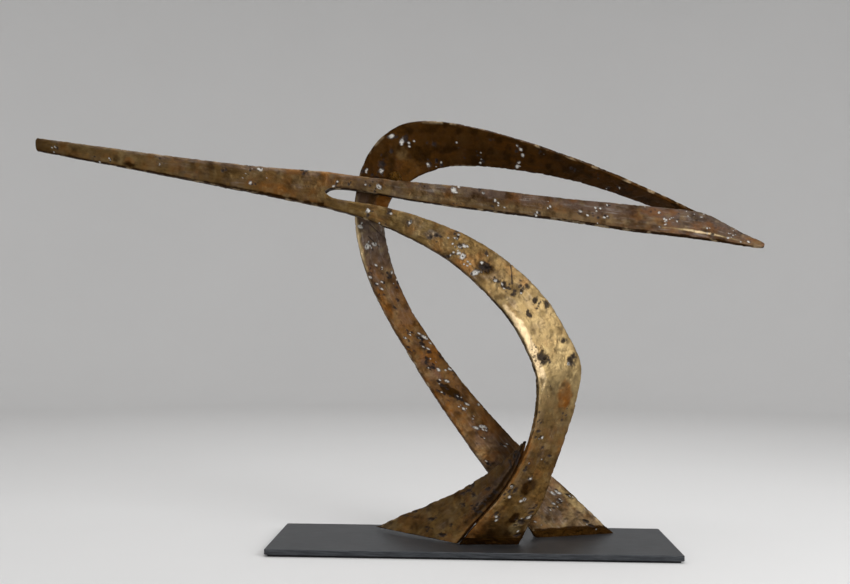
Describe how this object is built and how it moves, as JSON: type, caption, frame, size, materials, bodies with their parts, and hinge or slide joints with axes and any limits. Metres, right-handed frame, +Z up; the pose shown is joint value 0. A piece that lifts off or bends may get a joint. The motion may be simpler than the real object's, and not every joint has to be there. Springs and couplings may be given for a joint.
{
  "type": "abstract ribbon sculpture",
  "caption": "Static bronze ribbon sculpture: a spear that forks into a beaked blade with an arch and two twisting legs, on a long steel plinth.",
  "frame": {"origin": "middle of the felt's underside, under the middle of the steel plate, on the surface that it stands on", "axes": "+X along the plate towards the beak, +Y across the plate away from the viewer, +Z up"},
  "size_m": [1.1133, 0.2, 0.6531],
  "materials": {
    "olive_bronze": "rough-cast bronze, olive gold patina, pitted, worn bright on the edges",
    "brown_bronze": "rough-cast bronze, grey brown to violet brown patina, pitted",
    "dark_bronze": "rough-cast bronze, dark brown patina with amber glints",
    "polished_bronze": "bronze rubbed bright gold, with dark pits",
    "foot_bronze": "bronze with a nearly black weld scale",
    "weld_bronze": "silicon bronze weld, dressed nearly flush",
    "black_steel": "dark waxed mill scale, faintly scratched",
    "zinc_steel": "zinc plated",
    "felt": "black wool felt"
  },
  "bodies": {
    "root": {"base_plate": "black_steel", "base_felt": "felt", "spear_tip": "olive_bronze", "weld_spear_root": "weld_bronze", "spear_root": "olive_bronze", "blade_root": "brown_bronze", "weld_blade": "weld_bronze", "blade": "brown_bronze", "weld_beak_plate": "weld_bronze", "beak_plate": "brown_bronze", "arch_tail": "dark_bronze", "weld_arch": "weld_bronze", "arch": "dark_bronze", "weld_arch_bend": "weld_bronze", "arch_bend": "dark_bronze", "weld_rear_leg_upper": "weld_bronze", "rear_leg_upper": "brown_bronze", "weld_rear_leg_lower": "weld_bronze", "rear_leg_lower": "brown_bronze", "weld_rear_flare": "weld_bronze", "rear_flare": "brown_bronze", "rear_foot": "foot_bronze", "front_leg_root": "olive_bronze", "weld_front_leg": "weld_bronze", "front_leg": "olive_bronze", "weld_knee": "weld_bronze", "knee": "polished_bronze", "weld_shin": "weld_bronze", "shin": "olive_bronze", "fin": "olive_bronze", "front_foot": "foot_bronze", "crossing_weld": "weld_bronze", "rear_foot_screw_1": "zinc_steel", "rear_foot_screw_2": "zinc_steel", "front_foot_screw_1": "zinc_steel", "front_foot_screw_2": "zinc_steel"}
  },
  "joints": []
}
